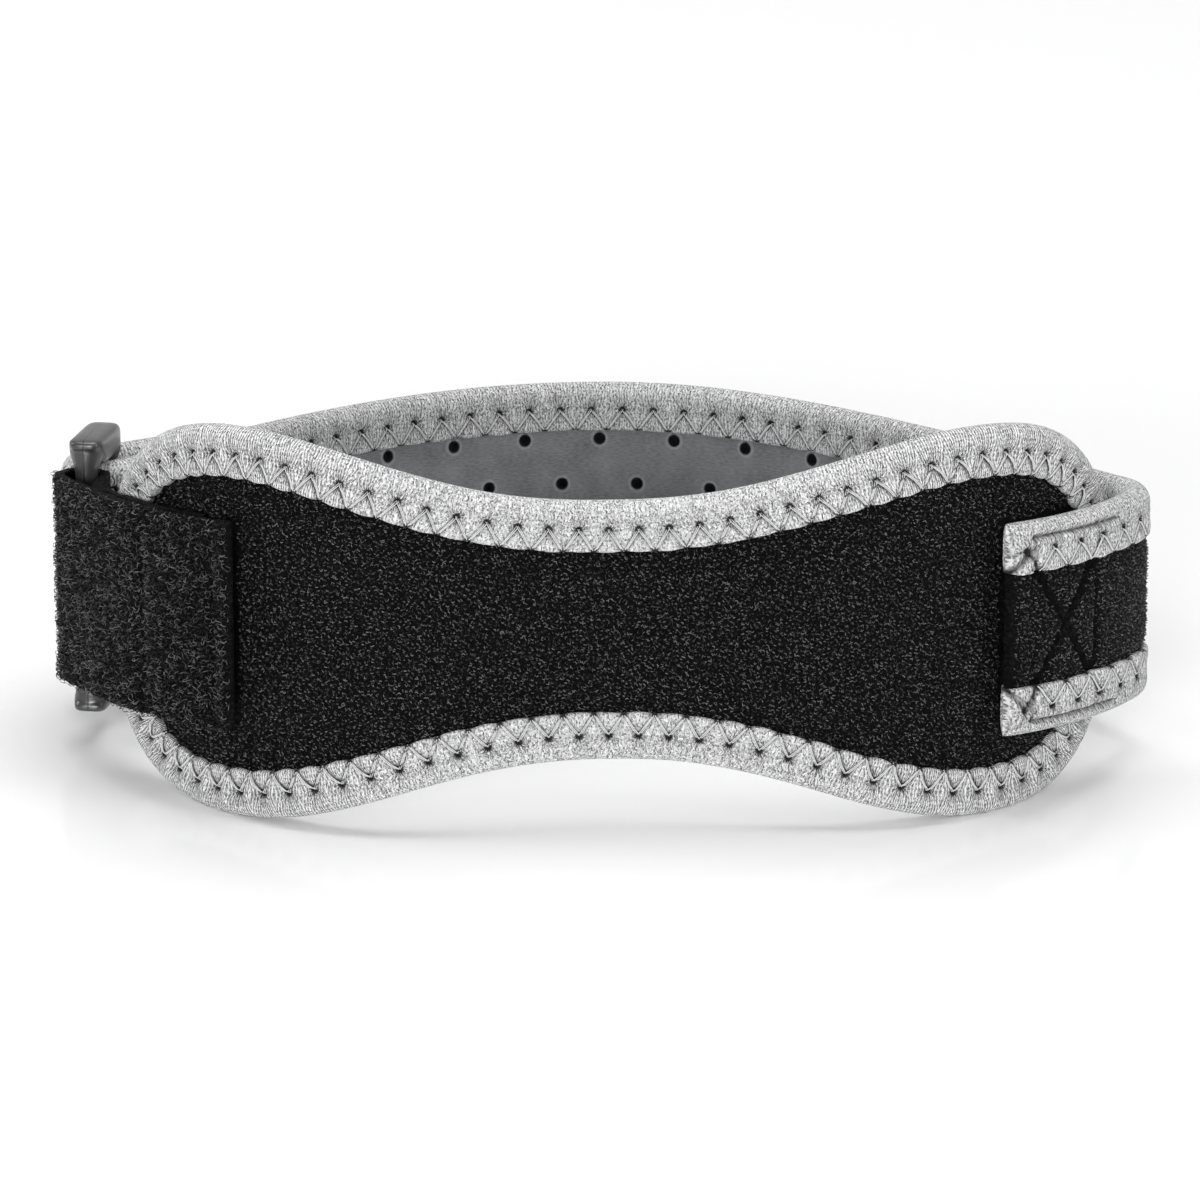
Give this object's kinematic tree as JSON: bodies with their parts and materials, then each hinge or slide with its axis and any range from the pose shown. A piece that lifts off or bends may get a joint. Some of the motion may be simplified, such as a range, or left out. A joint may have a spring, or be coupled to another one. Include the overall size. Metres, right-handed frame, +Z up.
{
  "type": "patella strap",
  "caption": "Knee strap with a bound hourglass pad in front, a perforated strap round the back, a ring on the left and a plush tab that holds it.",
  "frame": {"origin": "middle of the footprint, on the table the strap stands on", "axes": "+X to the strap's own left, which is the right-hand side seen from the front; +Y from the pad to the back; +Z up"},
  "size_m": [0.1984, 0.1216, 0.0704],
  "materials": {
    "terry": "black looped knit",
    "foam": "grey knit over foam",
    "pad_knit": "light grey fine-ribbed knit",
    "strap_knit": "light grey fine-ribbed knit",
    "plush": "black brushed plush",
    "lining": "smooth grey perforated knit",
    "moulding": "dark grey satin moulding"
  },
  "bodies": {
    "root": {"pad_face": "terry", "pad_cushion": "foam", "pad_binding": "pad_knit", "strap_shell": "plush", "strap_lining": "lining", "strap_binding_top": "strap_knit", "strap_binding_bottom": "strap_knit", "ring": "moulding", "tab": "plush", "hook_patch": "plush"}
  },
  "joints": []
}
